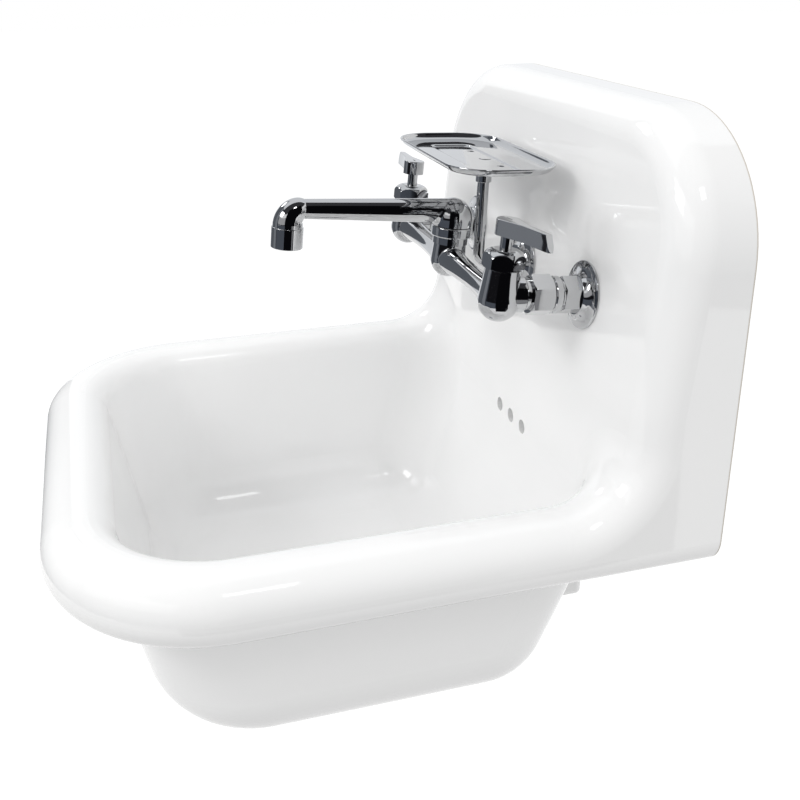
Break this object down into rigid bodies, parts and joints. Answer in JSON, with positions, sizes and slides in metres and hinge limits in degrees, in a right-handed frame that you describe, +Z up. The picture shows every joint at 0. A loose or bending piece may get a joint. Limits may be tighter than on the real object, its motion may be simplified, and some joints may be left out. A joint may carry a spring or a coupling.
{
  "type": "wall-mounted sink",
  "caption": "Wall-hung sink with a deep bowl, rolled rim and tall splashback, a bridge faucet with lever handles and a swivel spout, and a soap dish on a post.",
  "frame": {"origin": "on the wall plane, midway between the two screw holes of the hanger plate", "axes": "+Z up, +Y into the wall, +X to the right of a person facing the wall"},
  "size_m": [0.422, 0.422, 0.494],
  "materials": {
    "glaze": "high-gloss white glaze",
    "chrome": "polished chrome plate",
    "steel": "plain zinc-grey steel",
    "brass": "plain turned brass",
    "rubber": "matte black rubber"
  },
  "bodies": {
    "sink": {"basin": "glaze", "bonnet_left": "chrome", "bonnet_right": "chrome", "cartridge_left": "brass", "cartridge_right": "brass", "dish_bracket": "chrome", "dish_bracket_flange": "chrome", "dish_bracket_nut": "brass", "dish_bracket_washer": "steel", "dish_collar": "chrome", "dish_screw": "chrome", "drain_body": "chrome", "drain_flange_gasket": "rubber", "drain_lock_nut": "brass", "drain_rubber_washer": "rubber", "drain_slip_washer": "steel", "drain_strainer": "steel", "drain_tailpiece": "chrome", "faucet_body": "chrome", "packing_ring_left": "rubber", "packing_ring_right": "rubber", "soap_dish": "chrome", "supply_flange_left": "chrome", "supply_flange_right": "chrome", "supply_lock_nut_left": "brass", "supply_lock_nut_right": "brass", "supply_rear_washer_left": "steel", "supply_rear_washer_right": "steel", "supply_shank_left": "chrome", "supply_shank_right": "chrome", "swivel_nut": "chrome", "tail_coupling_nut": "chrome", "tail_washer": "rubber", "union_nut_left": "chrome", "union_nut_right": "chrome", "union_tail_left": "chrome", "union_tail_right": "chrome", "union_washer_left": "rubber", "union_washer_right": "rubber", "wall_hanger": "steel"},
    "lever_left_body": {"lever_left": "chrome", "stem_left": "chrome", "lever_screw_left": "chrome"},
    "lever_right_body": {"lever_right": "chrome", "stem_right": "chrome", "lever_screw_right": "chrome"},
    "spout_body": {"spout": "chrome", "spout_o_ring": "rubber", "aerator_housing": "chrome", "aerator_screen": "steel", "aerator_washer": "rubber"}
  },
  "joints": [
    {"name": "lever_left_turn", "type": "hinge", "parent": "sink", "child": "lever_left_body", "pos_m": [-0.1016, -0.1116, -0.00399], "axis": [0, 0.1019, 0.9948], "range_deg": [0, 90]},
    {"name": "lever_right_turn", "type": "hinge", "parent": "sink", "child": "lever_right_body", "pos_m": [0.1016, -0.1116, -0.00399], "axis": [0, 0.1019, 0.9948], "range_deg": [-90, 0]},
    {"name": "spout_swivel", "type": "hinge", "parent": "sink", "child": "spout_body", "pos_m": [0, -0.11364, -0.02389], "axis": [0, 0.1019, 0.9948], "range_deg": [-55, 55]}
  ]
}
